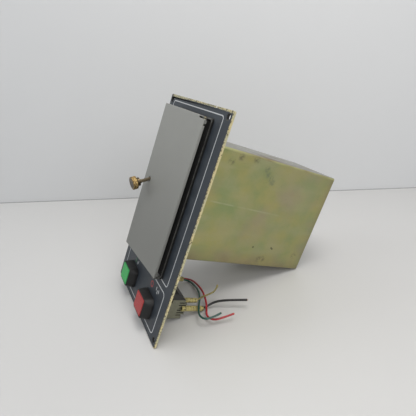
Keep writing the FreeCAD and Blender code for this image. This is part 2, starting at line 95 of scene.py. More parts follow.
class Paint:
    # one procedural material, built on object coordinates
    def __init__(self, name, colour, roughness=0.5, metallic=0.0):
        self.material = bpy.data.materials.new(name)
        self.material.use_nodes = True
        self.tree = self.material.node_tree
        self.tree.nodes.clear()
        self.coat = self.node("ShaderNodeBsdfPrincipled", None,
                              {"Base Color": colour, "Roughness": roughness, "Metallic": metallic})
        self.shader = self.coat.socket.node
        self.surface = self.tree.nodes.new("ShaderNodeOutputMaterial").inputs["Surface"]
        self.give(self.surface, self.coat)
        self.material.diffuse_color = (*colour, 1)

    def give(self, socket, value):
        if isinstance(value, Value):
            self.tree.links.new(value.socket, socket)
        elif isinstance(value, tuple) and len(value) == 3 and socket.type == "RGBA":
            socket.default_value = (*value, 1)
        else:
            socket.default_value = value

    def node(self, kind, settings=None, inputs=None, output=0):
        made = self.tree.nodes.new(kind)
        for key, value in (settings or {}).items():
            setattr(made, key, value)
        for key, value in (inputs or {}).items():
            self.give(made.inputs[key], value)
        return Value(self, made.outputs[output])

    def maths(self, operation, a, b=0.0):
        return self.node("ShaderNodeMath", {"operation": operation}, {0: a, 1: b})

    def larger(self, a, b):
        return self.maths("MAXIMUM", a, b)

    def away(self, value):
        return self.maths("ABSOLUTE", value)

    def vectors(self, operation, a, b=None, output="Value"):
        inputs = {0: a} if b is None else {0: a, 1: b}
        return self.node("ShaderNodeVectorMath", {"operation": operation}, inputs, output)

    def here(self):
        return self.node("ShaderNodeTexCoord", output="Object")

    def spot(self, stretch=(1, 1, 1), shift=(0, 0, 0)):
        return self.node("ShaderNodeMapping", None,
                         {"Vector": self.here(), "Scale": stretch, "Location": shift})

    def noise(self, scale, detail=3.0, rough=0.5, stretch=(1, 1, 1), shift=(0, 0, 0)):
        return self.node("ShaderNodeTexNoise", None, {"Vector": self.spot(stretch, shift), "Scale": scale,
                                                      "Detail": detail, "Roughness": rough})

    def step(self, value, low, high, a=0.0, b=1.0):
        # runs smoothly from a at low to b at high
        return self.node("ShaderNodeMapRange", {"interpolation_type": "SMOOTHSTEP"},
                         {0: value, 1: low, 2: high, 3: a, 4: b})

    def fall(self, value, low, high):
        return self.step(value, low, high, 1.0, 0.0)

    def mix(self, a, b, factor):
        return self.node("ShaderNodeMix", {"data_type": "RGBA"}, {0: factor, 6: a, 7: b}, output=2)

    def layers(self, tone, *coats):
        # lays each colour over the last, as far as its mask lets it
        for colour, mask in coats:
            tone = self.mix(tone, colour, mask)
        return tone

    def axis(self, name):
        return self.node("ShaderNodeSeparateXYZ", None, {0: self.here()}, name)

    def within(self, low, high, soft=0.0005):
        # 1 inside an upright box between two corners, measured on X and Z
        inside = None
        for name, a, b in (("X", low[0], high[0]), ("Z", low[1], high[1])):
            along = self.axis(name)
            band = self.step(along, a - soft, a + soft) * self.fall(along, b - soft, b + soft)
            inside = band if inside is None else inside * band
        return inside

    def fromAxis(self, point, along):
        # distance from a line through a point
        arm = self.vectors("SUBTRACT", self.here(), point, "Vector")
        return self.vectors("LENGTH", self.vectors("CROSS_PRODUCT", arm, along, "Vector"))

    def dots(self, places, size, soft):
        # 1 inside any of the small round marks
        here = self.here()
        total = None
        for place in places:
            mark = self.fall(self.vectors("DISTANCE", here, place), size, size + soft)
            total = mark if total is None else self.larger(total, mark)
        return total

    def relief(self, height, distance, strength=1.0):
        bump = self.node("ShaderNodeBump", None,
                         {"Height": height, "Distance": distance, "Strength": strength})
        self.give(self.shader.inputs["Normal"], bump)

    def colour(self, value):
        self.give(self.shader.inputs["Base Color"], value)

    def rough(self, value):
        self.give(self.shader.inputs["Roughness"], value)

    def metal(self, value):
        self.give(self.shader.inputs["Metallic"], value)


def deselect():
    bpy.ops.object.select_all(action="DESELECT")


def finishPiece(piece, name, body, paint, slot, *nodes):
    piece.name = name
    piece.data.name = name
    piece.data.materials.clear()
    piece.data.materials.append(paint.material)
    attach(piece, body)
    if nodes:
        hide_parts(*nodes)


def shadeSmooth(piece, angle=32):
    deselect()
    piece.select_set(True)
    context.view_layer.objects.active = piece
    bpy.ops.object.shade_smooth_by_angle(angle=math.radians(angle))


def pick(piece, test, kind="FACE"):
    # selects the faces or edges that pass the test, and stays in edit mode
    bpy.ops.object.mode_set(mode="EDIT")
    bpy.ops.mesh.select_mode(type=kind)
    bpy.ops.mesh.select_all(action="DESELECT")
    bpy.ops.object.mode_set(mode="OBJECT")
    mesh = piece.data
    if kind == "FACE":
        for face in mesh.polygons:
            face.select = bool(test(face.center, face.normal))
    else:
        for edge in mesh.edges:
            a, b = (mesh.vertices[i].co for i in edge.vertices)
            edge.select = bool(test(a, b))
    bpy.ops.object.mode_set(mode="EDIT")


def openMouth(piece, front):
    # the flat face at the front is made again as a ring between its outer and inner edges
    reach = front + 0.00001
    pick(piece, lambda centre, face: centre.y < reach)
    bpy.ops.mesh.delete(type="FACE")
    pick(piece, lambda a, b: a.y < reach and b.y < reach, "EDGE")
    bpy.ops.mesh.bridge_edge_loops()
    bpy.ops.mesh.select_all(action="SELECT")
    bpy.ops.mesh.normals_make_consistent(inside=False)
    bpy.ops.object.mode_set(mode="OBJECT")


# how CAD copies are cleaned before their edges are broken: lengths in metres, angles in degrees
softening = {"merge": 0.000002, "flat": 0.4, "sharp": 30}


def softened(node, width, segments=2, mouth=None):
    # a copy of a CAD node with its doubles merged and its sharp edges broken
    deselect()
    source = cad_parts[node]
    source.select_set(True)
    context.view_layer.objects.active = source
    bpy.ops.object.duplicate()
    piece = context.active_object
    piece.parent = None
    piece.matrix_world = Matrix.Identity(4)
    for key in list(piece.keys()):
        del piece[key]
    bpy.ops.object.mode_set(mode="EDIT")
    bpy.ops.mesh.select_all(action="SELECT")
    bpy.ops.mesh.remove_doubles(threshold=softening["merge"])
    bpy.ops.mesh.dissolve_limited(angle_limit=math.radians(softening["flat"]))
    bpy.ops.object.mode_set(mode="OBJECT")
    if width:
        edge = piece.modifiers.new("edge", "BEVEL")
        edge.width = width
        edge.segments = segments
        edge.limit_method = "ANGLE"
        edge.angle_limit = math.radians(softening["sharp"])
        edge.use_clamp_overlap = False
        edge.miter_outer = "MITER_ARC"
        bpy.ops.object.modifier_apply(modifier="edge")
    if mouth is not None:
        openMouth(piece, mouth)
    shadeSmooth(piece)
    even = piece.modifiers.new("even", "WEIGHTED_NORMAL")
    even.keep_sharp = True
    bpy.ops.object.modifier_apply(modifier="even")
    return piece


# floor, backdrop, a strip of painted shade where they meet, and the lamps
studio = {
    "sheet": 16,
    "footHeight": -0.150,
    "floorSlope": 0.419,      # the panel foot and the back of the case both touch the floor
    "floorColour": (0.535, 0.530, 0.522),
    "backdropAt": (-0.53, -0.181, -0.226),
    "backdropNormal": (-0.9068, 0.3889, 0.1629),
    "wallColour": (0.645, 0.650, 0.655),
    "seamAt": (-0.316, 0.2425, -0.0485),
    "seamRun": (0.4216, 0.8363, 0.3504),
    "seamSize": (4.0, 0.0022, 0.0022),
    "seamShadeColour": (0.30, 0.30, 0.30),
    "matt": 0.9,
    "room": (0.80, 0.82, 0.85),
    "roomStrength": 0.52,
}
bpy.ops.mesh.primitive_plane_add(size=studio["sheet"], location=(0, 0, studio["footHeight"]),
                                 rotation=(math.atan(studio["floorSlope"]), 0, 0))
floor = context.active_object
floor.name = "floor"
floorPaint = Paint("paleFloor", studio["floorColour"])
floorPaint.rough(0.26 + 0.12 * floorPaint.noise(9, 2))
floor.data.materials.append(floorPaint.material)

bpy.ops.mesh.primitive_plane_add(size=studio["sheet"], location=studio["backdropAt"])
backdrop = context.active_object
backdrop.name = "backdrop"
backdrop.rotation_euler = Vector(studio["backdropNormal"]).to_track_quat("Z", "Y").to_euler()
wallPaint = Paint("paleBackdrop", studio["wallColour"], studio["matt"])
roomSide = wallPaint.node("ShaderNodeNewGeometry", output="Backfacing")
clear = wallPaint.node("ShaderNodeBsdfTransparent")      # the wall is see-through from behind it
wallPaint.give(wallPaint.surface, wallPaint.node("ShaderNodeMixShader", None,
                                                 {0: roomSide, 1: clear, 2: wallPaint.coat}))
backdrop.data.materials.append(wallPaint.material)

# painted shade: a thin dark grey box laid along the corner where floor and backdrop meet
bpy.ops.mesh.primitive_cube_add(size=1, location=studio["seamAt"])
seam = context.active_object
seam.name = "seam"
seam.scale = studio["seamSize"]
seam.rotation_euler = Vector(studio["seamRun"]).to_track_quat("X", "Z").to_euler()
seam.data.materials.append(Paint("seamShade", studio["seamShadeColour"], studio["matt"]).material)

world = bpy.data.worlds.new("room")
world.use_nodes = True
glow = world.node_tree.nodes["Background"]
glow.inputs["Color"].default_value = (*studio["room"], 1)
glow.inputs["Strength"].default_value = studio["roomStrength"]
context.scene.world = world

lamps = {
    "overhead": {"place": (0.25, -0.35, 1.25), "aim": (0.0, 0.06, 0.0), "size": 0.75, "power": 11.5,
                 "colour": (1.0, 0.98, 0.95)},
    "leftFill": {"place": (-0.55, -1.1, 0.35), "aim": (0.0, 0.0, 0.0), "size": 0.9, "power": 5.0,
                 "colour": (0.95, 0.98, 1.0)},
    "rightFill": {"place": (1.1, -0.1, 0.6), "aim": (0.0, 0.1, 0.0), "size": 0.8, "power": 6.0,
                  "colour": (1.0, 1.0, 1.0)},
}
for name, lamp in lamps.items():
    bpy.ops.object.light_add(type="AREA", location=lamp["place"])
    light = context.active_object
    light.name = name
    light.data.size = lamp["size"]
    light.data.energy = lamp["power"]
    light.data.color = lamp["colour"]
    beam = Vector(lamp["place"]) - Vector(lamp["aim"])
    light.rotation_euler = beam.to_track_quat("Z", "Y").to_euler()
print("stage set")

# four cut-off control leads, each with a bare copper end
leads = {
    "redLead": {
        "node": "wire_red", "slot": "wire_red", "radius": 0.0014, "length": 0.1807,
        "colour": (0.30, 0.014, 0.020),
        "route": [(-0.0209, 0.0385, -0.1142), (-0.0209, 0.0570, -0.1144), (-0.0209, 0.0805, -0.1141),
                  (-0.0035, 0.0825, -0.1068), (0.0252, 0.0829, -0.1036), (0.0519, 0.0776, -0.1058),
                  (0.0651, 0.0728, -0.1098), (0.0768, 0.0682, -0.1132), (0.0879, 0.0735, -0.1110),
                  (0.0907, 0.0853, -0.1046), (0.0934, 0.0974, -0.0966)]},
    "greenLead": {
        "node": "wire_green", "slot": "wire_green", "radius": 0.0014, "length": 0.1700,
        "colour": (0.012, 0.060, 0.045),
        "route": [(-0.0179, 0.0385, -0.1142), (-0.0179, 0.0570, -0.1144), (-0.0179, 0.0790, -0.1141),
                  (0.0022, 0.0804, -0.1094), (0.0223, 0.0798, -0.1078), (0.0431, 0.0727, -0.1094),
                  (0.0646, 0.0599, -0.1102), (0.0787, 0.0561, -0.1127), (0.0894, 0.0638, -0.1092),
                  (0.0885, 0.0800, -0.0991)]},
    "blackLead": {
        "node": "wire_black", "slot": "wire_black", "radius": 0.00165, "length": 0.0999,
        "colour": (0.012, 0.012, 0.012),
        "route": [(0.0566, 0.0385, -0.1150), (0.0566, 0.0560, -0.1152), (0.0566, 0.0740, -0.1149),
                  (0.0562, 0.0820, -0.1090), (0.0574, 0.0885, -0.1032), (0.0625, 0.0975, -0.0970),
                  (0.0710, 0.1105, -0.0902), (0.0804, 0.1230, -0.0834)]},
    "oliveLead": {
        "node": "wire_olive", "slot": "wire_olive", "radius": 0.0012, "length": 0.0648,
        "colour": (0.17, 0.14, 0.035),
        "route": [(0.0470, 0.0385, -0.1083), (0.0470, 0.0520, -0.1085), (0.0470, 0.0655, -0.1081),
                  (0.0472, 0.0730, -0.1010), (0.0502, 0.0795, -0.0960), (0.0498, 0.0892, -0.0888),
                  (0.0454, 0.0914, -0.0830)]},
}
sheathLook = {"fade": 1.7, "haze": 0.02, "dustScale": 220, "grain": 700}
tips = {"share": 0.5, "sides": 16, "stub": 0.002, "stands": 0.0006, "inset": 0.35, "crown": 0.0002,
        "colour": (0.45, 0.20, 0.09)}
copper = Paint("cutCopper", tips["colour"], metallic=1.0)
copper.rough(0.28 + 0.25 * copper.noise(900, 2))
for name, lead in leads.items():
    curve = bpy.data.curves.new(name, "CURVE")
    curve.dimensions = "3D"
    line = curve.splines.new("NURBS")
    line.points.add(len(lead["route"]) - 1)
    for point, place in zip(line.points, lead["route"]):
        point.co = (*place, 1)
    line.order_u = 3
    line.use_endpoint_u = True
    line.resolution_u = 14
    curve.bevel_depth = lead["radius"]
    curve.bevel_resolution = 5
    curve.use_fill_caps = True
    cord = bpy.data.objects.new(name, curve)
    context.scene.collection.objects.link(cord)
    sheath = Paint(name + "Sheath", lead["colour"])
    dust = sheath.step(sheath.noise(sheathLook["dustScale"], 4), 0.45, 0.75)
    faded = tuple(min(1, part * sheathLook["fade"] + sheathLook["haze"]) for part in lead["colour"])
    sheath.colour(sheath.mix(lead["colour"], faded, dust))
    sheath.rough(0.34 + 0.25 * dust)
    sheath.relief(sheath.noise(sheathLook["grain"], 2), 0.0001, 0.5)
    curve.materials.append(sheath.material)
    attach(cord, "panel")
    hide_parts(lead["node"])
    end = Vector(lead["route"][-1])
    run = (end - Vector(lead["route"][-2])).normalized()
    tipRadius = lead["radius"] * tips["share"]
    bpy.ops.mesh.primitive_cylinder_add(vertices=tips["sides"], radius=tipRadius, depth=tips["stub"])
    tip = context.active_object
    pick(tip, lambda centre, face: face.z > 0.9)
    bpy.ops.mesh.inset(thickness=tipRadius * tips["inset"])
    bpy.ops.transform.translate(value=(0, 0, tips["crown"]))
    bpy.ops.object.mode_set(mode="OBJECT")
    seat = Matrix.Translation(end + run * (tips["stands"] - tips["stub"] / 2))
    tip.data.transform(seat @ run.to_track_quat("Z", "Y").to_matrix().to_4x4())
    finishPiece(tip, name + "Core", "panel", copper, "contact_brass")
    shadeSmooth(tip)
print("leads laid")

# finishes shared by several pieces
zinc = {"base": (0.40, 0.36, 0.22), "warm": (0.46, 0.38, 0.17), "cool": (0.36, 0.38, 0.27),
        "dirt": (0.05, 0.04, 0.03)}
hardware = Paint("zincHardware", zinc["base"], metallic=0.85)
patch = hardware.step(hardware.noise(160, 3), 0.35, 0.65)
hardware.colour(hardware.mix(zinc["warm"], zinc["cool"], patch))
hardware.rough(0.3 + 0.3 * hardware.noise(400, 3))

satin = {"dark": (0.008, 0.008, 0.008), "light": (0.022, 0.021, 0.020)}
blackSatin = Paint("blackSatin", satin["dark"])
blackSatin.colour(blackSatin.mix(satin["dark"], satin["light"], blackSatin.noise(120, 4)))
blackSatin.rough(0.32 + 0.2 * blackSatin.noise(300, 3))
blackSatin.relief(blackSatin.noise(1400, 2), 0.00005, 0.5)

rubber = Paint("blackRubber", (0.015, 0.015, 0.014))
rubber.rough(0.75 + 0.2 * rubber.noise(500, 2))
rubber.relief(rubber.noise(1500, 3), 0.0002, 0.6)

steel = Paint("darkSteel", (0.28, 0.28, 0.29), metallic=1.0)
steel.rough(0.28 + 0.25 * steel.noise(200, 3, stretch=(1, 6, 1)))
spring = Paint("springSteel", (0.5, 0.5, 0.5), metallic=1.0)
spring.rough(0.2 + 0.2 * spring.noise(600, 2))
contact = Paint("contactBrass", (0.55, 0.38, 0.16), metallic=1.0)
contact.rough(0.25 + 0.2 * contact.noise(300, 2))
nylon = Paint("whiteNylon", (0.62, 0.60, 0.52), 0.45)
nylon.relief(nylon.noise(900, 2), 0.00005, 0.5)
windings = Paint("enamelledWire", (0.32, 0.11, 0.04), 0.35, 0.3)
turns = windings.node("ShaderNodeTexWave", {"bands_direction": "Y"},
                      {"Vector": windings.spot(), "Scale": 320.0})
windings.relief(turns, 0.0003, 0.8)
print("finishes mixed")

# front plate: patchy zinc, chipped along the film, and black with painted shade in its holes and behind the
# door
plate = {
    "edge": 0.0004, "metal": 0.35,
    "light": (0.64, 0.55, 0.30), "dark": (0.52, 0.49, 0.31), "black": (0.012, 0.012, 0.012),
    "patchScale": 70, "fleckScale": 360, "fleckStrength": 0.85, "grain": 900,
    "holeX": 0.0835, "holeZ": 0.1425, "holeY": -0.0015, "holeRadius": 0.0042,
    "doorway": ((-0.0492, -0.0722), (0.0569, 0.1360)), "doorwayFront": -0.0025,
    "filmSeam": 0.0027, "chipScale": 330, "chipStrength": 0.9, "chipColour": (0.05, 0.045, 0.03),
    "stainsAndSheen": [(-0.0885, -0.003, 0.1485), (-0.086, -0.003, 0.1465)], "stainColour": (0.06, 0.055, 0.04),
    "nicks": [(0.0517, -0.003, 0.1488)], "nickColour": (0.85, 0.84, 0.80),
}
plateZinc = Paint("plateZinc", zinc["base"])
patch = plateZinc.step(plateZinc.noise(plate["patchScale"], 4), 0.4, 0.6)
fleck = plateZinc.step(plateZinc.noise(plate["fleckScale"], 3, 0.6), 0.56, 0.66)
corners = [(x, plate["holeY"], z) for x in (-plate["holeX"], plate["holeX"])
           for z in (-plate["holeZ"], plate["holeZ"])]
# painted shade: the corner holes and the plate behind the door turn black and lose their metal
hole = plateZinc.dots(corners, plate["holeRadius"], 0.0004)
doorway = plateZinc.within(*plate["doorway"]) * (plateZinc.axis("Y") < plate["doorwayFront"])
unlit = plateZinc.larger(hole, doorway)
filmSeam = plateZinc.fall(plateZinc.away(plateZinc.axis("Y") + plate["filmSeam"]), 0.0002, 0.0005)
chips = filmSeam * plateZinc.step(plateZinc.noise(plate["chipScale"], 4, 0.7, shift=(2, 2, 2)), 0.47, 0.55)
plateZinc.colour(plateZinc.layers(
    plateZinc.mix(plate["light"], plate["dark"], patch),
    (zinc["dirt"], fleck * plate["fleckStrength"]),
    (plate["chipColour"], chips * plate["chipStrength"]),
    (plate["stainColour"], plateZinc.dots(plate["stainsAndSheen"], 0.0015, 0.002)),
    (plate["nickColour"], plateZinc.dots(plate["nicks"], 0.0008, 0.0005)),
    (plate["black"], unlit)))
plateZinc.rough(0.36 + 0.3 * fleck)
plateZinc.metal(plate["metal"] - plate["metal"] * unlit)
plateZinc.relief(plateZinc.noise(plate["grain"], 3) - fleck, 0.00015, 0.6)
piece = softened("front_panel", plate["edge"])
finishPiece(piece, "frontPlate", "panel", plateZinc, "zinc_plate", "front_panel")

# printed film with a torn top edge: how far the tear drops along X, and the waves that roughen it
film = {
    "cuts": 60, "edgeReach": 0.0002, "longEdge": 0.05,
    "tear": ((-0.0900, 0.0033), (-0.0850, 0.0029), (-0.0560, 0.0017), (-0.0310, 0.0002), (0.0205, 0.0),
             (0.0500, 0.0001), (0.0830, 0.0006), (0.0900, 0.0009)),
    "jag": 0.0003, "waves": ((690, 0.0, 1.0), (1730, 1.0, 0.7), (311, 0.0, 0.5)),
    "dark": (0.021, 0.028, 0.037), "light": (0.034, 0.042, 0.052), "hazeScale": 45, "grain": 1800,
}
piece = softened("panel_overlay", 0)
low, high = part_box("panel_overlay")
crest = high.z - film["edgeReach"]
pick(piece, lambda a, b: a.z > crest and b.z > crest and abs(a.x - b.x) > film["longEdge"], "EDGE")
bpy.ops.mesh.subdivide(number_cuts=film["cuts"])
bpy.ops.object.mode_set(mode="OBJECT")
for corner in piece.data.vertices:
    if corner.co.z > crest:
        drop = 0.0
        for (x0, d0), (x1, d1) in zip(film["tear"], film["tear"][1:]):
            if x0 <= corner.co.x <= x1:
                drop = d0 + (d1 - d0) * (corner.co.x - x0) / (x1 - x0)
        wobble = sum(size * math.sin(corner.co.x * rate + start) for rate, start, size in film["waves"])
        corner.co.z -= drop + film["jag"] * (1.0 + wobble * 0.5)
filmPaint = Paint("slateFilm", film["dark"])
haze = filmPaint.step(filmPaint.noise(film["hazeScale"], 4), 0.35, 0.7)
filmPaint.colour(filmPaint.mix(film["dark"], film["light"], haze))
filmPaint.rough(0.46 + 0.14 * haze)
filmPaint.relief(filmPaint.noise(film["grain"], 2), 0.00005, 0.4)
finishPiece(piece, "slateFilm", "panel", filmPaint, "grey_film", "panel_overlay")

# printed lines and marks: white, with a green bar by the start button and a red ring by the stop button
ink = {
    "pale": (0.44, 0.46, 0.47), "white": (0.60, 0.61, 0.61),
    "greenAt": ((-0.0416, -0.1020), (-0.0384, -0.0930)), "green": (0.05, 0.16, 0.07),
    "redAt": ((0.0285, -0.0975), (0.0385, -0.0875)), "red": (0.28, 0.03, 0.035),
}
inkPaint = Paint("whiteInk", ink["pale"], 0.5)
inkPaint.colour(inkPaint.layers(
    inkPaint.mix(ink["pale"], ink["white"], inkPaint.noise(260, 3)),
    (ink["green"], inkPaint.within(*ink["greenAt"])),
    (ink["red"], inkPaint.within(*ink["redAt"]))))
piece = softened("panel_print", 0)
finishPiece(piece, "printedLines", "panel", inkPaint, "white_ink", "panel_print")
print("panel done")

# folded zinc case with rounded bends and a flange
case = {"bend": 0.0024, "bendSteps": 5, "wall": 0.0012, "flange": 0.010, "smooth": 40}
low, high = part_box("enclosure")
front = low.y + case["wall"]
span = Vector((high.x - low.x - 2 * case["flange"], high.y - front, high.z - low.z - 2 * case["flange"]))
centre = Vector(((low.x + high.x) / 2, (front + high.y) / 2, (low.z + high.z) / 2))
deselect()
bpy.ops.mesh.primitive_cube_add(size=1, location=centre)
piece = context.active_object
piece.scale = span
bpy.ops.object.transform_apply(location=True, rotation=True, scale=True)
pick(piece, lambda centre, face: face.y < -0.9)
bpy.ops.mesh.delete(type="FACE")
pick(piece, lambda a, b: not (a.y < front + 0.001 and b.y < front + 0.001), "EDGE")
bpy.ops.mesh.bevel(offset=case["bend"], segments=case["bendSteps"], affect="EDGES")
pick(piece, lambda a, b: a.y < front + 0.0001 and b.y < front + 0.0001, "EDGE")
bpy.ops.mesh.extrude_region_move()
flare = [(size + 2 * case["flange"]) / size for size in (span.x, span.z)]
bpy.ops.transform.resize(value=(flare[0], 1, flare[1]), center_override=(centre.x, front, centre.z))
bpy.ops.mesh.select_all(action="SELECT")
bpy.ops.mesh.normals_make_consistent(inside=False)
bpy.ops.object.mode_set(mode="OBJECT")
skin = piece.modifiers.new("skin", "SOLIDIFY")
skin.thickness = case["wall"]
skin.offset = -1
bpy.ops.object.modifier_apply(modifier="skin")

# the case's finish: passivated zinc, with stains, smudges and scratches at their places, a painted reflection
# on the top face and a painted highlight along the top fold
stainsAndSheen = {
    "straw": (0.350, 0.320, 0.120), "green": (0.235, 0.285, 0.120), "pale": (0.350, 0.335, 0.185),
    "rose": (0.320, 0.255, 0.180), "streak": (0.40, 0.38, 0.24), "brown": (0.235, 0.190, 0.105),
    "topReflectionPale": (0.27, 0.27, 0.24), "topReflectionDim": (0.18, 0.14, 0.09), "farEdge": (0.10, 0.07, 0.05),
    "foldHighlightPale": (0.50, 0.50, 0.24), "foldHighlightDim": (0.27, 0.21, 0.11), "scratch": (0.42, 0.41, 0.27),
    "scuff": (0.27, 0.30, 0.30), "smudge": (0.13, 0.11, 0.07), "smear": (0.17, 0.19, 0.12),
    "mark": (0.05, 0.05, 0.03), "grain": (0.16, 0.14, 0.08),
    "scuffAt": [(0.040, 0.0155, 0.0260), (0.040, 0.0150, 0.0320)],
    "markAt": [(0.040, 0.1331, -0.0196), (0.040, 0.1676, -0.0176), (0.040, 0.1700, -0.0190),
               (0.0246, 0.0452, 0.1094)],
    "smudgeAt": [(0.040, 0.1588, -0.0374), (0.040, 0.1520, -0.0380), (0.040, 0.2192, -0.0267),
                 (0.040, 0.0478, 0.0939), (0.040, 0.0600, 0.1020), (0.040, 0.0850, 0.1040)],
    "smearAt": [(0.040, 0.1226, 0.0793), (0.040, 0.1175, 0.0845), (0.040, 0.1125, 0.0889),
                (0.040, 0.1077, 0.0951)],
    "scratchHeight": 0.0378, "scratchSlope": 0.02, "scratchEnd": 0.165,
}
casePaint = Paint("stainedZincWithSheen", stainsAndSheen["straw"], metallic=0.55)
cloud = casePaint.step(casePaint.noise(22, 3, 0.5, stretch=(1, 1, 1.2)), 0.30, 0.70)
bloom = casePaint.step(casePaint.noise(34, 4, shift=(3, 1, 2)), 0.38, 0.75)
rosy = casePaint.step(casePaint.noise(15, 4, shift=(7, 5, 2)), 0.42, 0.76)
streak = casePaint.step(casePaint.noise(60, 3, stretch=(1, 0.25, 1)), 0.45, 0.75)
# the case turns browner towards its bottom and its back
lowEdge = casePaint.fall(casePaint.axis("Z"), -0.050, -0.022)
backEdge = casePaint.step(casePaint.axis("Y"), 0.226, 0.239)
# painted reflection: the top face takes a grey tone of the pale wall it reflects, patchy along the streaks
topReflection = casePaint.step(casePaint.axis("Z"), 0.1088, 0.1093)
# a dark brown line along the far top fold
farSide = casePaint.step(casePaint.axis("X"), -0.0505, -0.0525)
farEdge = farSide * casePaint.step(casePaint.axis("Z"), 0.100, 0.104)
# painted highlight: a pale band along the top bend, patchy along the streaks
foldHighlight = casePaint.step(casePaint.axis("Z"), 0.1058, 0.1074) * (1.0 - topReflection)
scratchLine = casePaint.axis("Z") + casePaint.axis("Y") * stainsAndSheen["scratchSlope"] - stainsAndSheen["scratchHeight"]
scratch = (casePaint.fall(casePaint.away(scratchLine), 0.0002, 0.0016)
           * casePaint.step(casePaint.noise(50, 3), 0.30, 0.60)
           * casePaint.step(casePaint.axis("Y"), stainsAndSheen["scratchEnd"], 0.150))
smudge = casePaint.dots(stainsAndSheen["smudgeAt"], 0.001, 0.006) * casePaint.step(casePaint.noise(240, 4), 0.35, 0.6)
smear = casePaint.dots(stainsAndSheen["smearAt"], 0.001, 0.006) * casePaint.step(casePaint.noise(220, 3), 0.35, 0.6)
grain = casePaint.step(casePaint.noise(520, 4, 0.7), 0.60, 0.72)
casePaint.colour(casePaint.layers(
    casePaint.mix(stainsAndSheen["straw"], stainsAndSheen["green"], cloud),
    (stainsAndSheen["pale"], bloom * 0.6),
    (stainsAndSheen["rose"], rosy * 0.7),
    (stainsAndSheen["streak"], streak * 0.2),
    (stainsAndSheen["brown"], casePaint.larger(lowEdge, backEdge) * (0.4 + 0.5 * bloom)),
    (casePaint.mix(stainsAndSheen["topReflectionPale"], stainsAndSheen["topReflectionDim"], streak), topReflection),
    (stainsAndSheen["farEdge"], farEdge),
    (casePaint.mix(stainsAndSheen["foldHighlightPale"], stainsAndSheen["foldHighlightDim"], streak), foldHighlight * 0.75),
    (stainsAndSheen["scratch"], scratch * 0.40),
    (stainsAndSheen["scuff"], casePaint.dots(stainsAndSheen["scuffAt"], 0.001, 0.005) * 0.6),
    (stainsAndSheen["smudge"], smudge * 0.7),
    (stainsAndSheen["smear"], smear * 0.8),
    (stainsAndSheen["mark"], casePaint.dots(stainsAndSheen["markAt"], 0.0006, 0.0014) * 0.9),
    (stainsAndSheen["grain"], grain * 0.4)))
casePaint.rough(0.36 + 0.16 * bloom)
casePaint.relief(casePaint.noise(6, 2) * 3.0 + casePaint.noise(1200, 2) * 0.02, 0.0006, 0.5)
finishPiece(piece, "foldedCase", "panel", casePaint, "zinc_box", "enclosure")
shadeSmooth(piece, case["smooth"])
print("case done")

# door, painted lighter towards its top: painted light from above
door = {
    "edge": 0.0006, "edgeSteps": 3, "foot": -0.072, "head": 0.132,
    "shadedFootColour": (0.180, 0.182, 0.168), "litHeadColour": (0.272, 0.274, 0.254),
    "cloudColour": (0.215, 0.213, 0.198), "cloudScale": 30, "cloudStrength": 0.4, "grain": 1100,
}
doorPaint = Paint("doorGrey", door["litHeadColour"])
shade = doorPaint.noise(door["cloudScale"], 3)
# painted light: the grey runs from a shaded tone at the door's foot to a lit tone at its head
height = doorPaint.step(doorPaint.axis("Z"), door["foot"], door["head"])
doorPaint.colour(doorPaint.layers(doorPaint.mix(door["shadedFootColour"], door["litHeadColour"], height),
                                  (door["cloudColour"], shade * door["cloudStrength"])))
doorPaint.rough(0.44 + 0.12 * shade)
doorPaint.relief(doorPaint.noise(door["grain"], 3), 0.00006, 0.6)
piece = softened("door_pan", door["edge"], door["edgeSteps"])
finishPiece(piece, "doorPan", "door", doorPaint, "door_grey", "door_pan")

# rim with a painted highlight along its front ridge, patchy with wear, seal and hinge pins
rim = {
    "edge": 0.00045, "edgeSteps": 3, "sealEdge": 0.0005, "pinEdge": 0.0003,
    "black": (0.010, 0.010, 0.009), "worn": (0.12, 0.12, 0.11), "wearScale": 240,
    "ridgeBack": -0.00545, "ridgeFront": -0.0057,
}
rimPaint = Paint("rimBlack", rim["black"])
worn = rimPaint.step(rimPaint.noise(rim["wearScale"], 4), 0.5, 0.62)
# painted highlight: the front ridge is coloured grey over the black, patchy with wear
paintedRidgeLight = rimPaint.step(rimPaint.axis("Y"), rim["ridgeBack"], rim["ridgeFront"])
rimPaint.colour(rimPaint.mix(rim["black"], rim["worn"], paintedRidgeLight * (0.55 + 0.45 * worn)))
rimPaint.rough(0.3 + 0.2 * worn)
piece = softened("door_rim", rim["edge"], rim["edgeSteps"])
finishPiece(piece, "doorRim", "panel", rimPaint, "black_paint", "door_rim")
piece = softened("rim_seal", rim["sealEdge"])
finishPiece(piece, "foamSeal", "panel", rubber, "foam_rubber", "rim_seal")
piece = softened("hinge_pins", rim["pinEdge"])
finishPiece(piece, "hingePins", "door", hardware, "zinc_steel", "hinge_pins")

# thumbscrew: aged brass with a dark dish in the knob, a dark ring on the collar and a cut thread with painted
# shade in its roots
screw = {
    "pivot": (-0.03071, -0.02334, 0.0324), "axis": (-0.0947, 0.9013, 0.4226),
    "edge": 0.0002, "washerEdge": 0.0001, "ageScale": 620,
    "knobLight": (0.33, 0.23, 0.095), "knobDark": (0.11, 0.075, 0.040), "dish": (0.050, 0.043, 0.040),
    "dishRadius": 0.0068,
    "collarLight": (0.26, 0.18, 0.08), "collarDark": (0.040, 0.028, 0.020), "ring": (0.055, 0.048, 0.040),
    "ringInner": 0.0055, "ringOuter": 0.0066,
    "threadCrestLight": (0.34, 0.27, 0.17), "threadRootShade": (0.035, 0.028, 0.022), "threadPitch": 0.0011,
    "threadGain": 1800.0,
}
brass = Paint("agedBrass", screw["collarLight"], metallic=1.0)
age = brass.step(brass.noise(screw["ageScale"], 4), 0.34, 0.68)
radial = brass.fromAxis(screw["pivot"], screw["axis"])
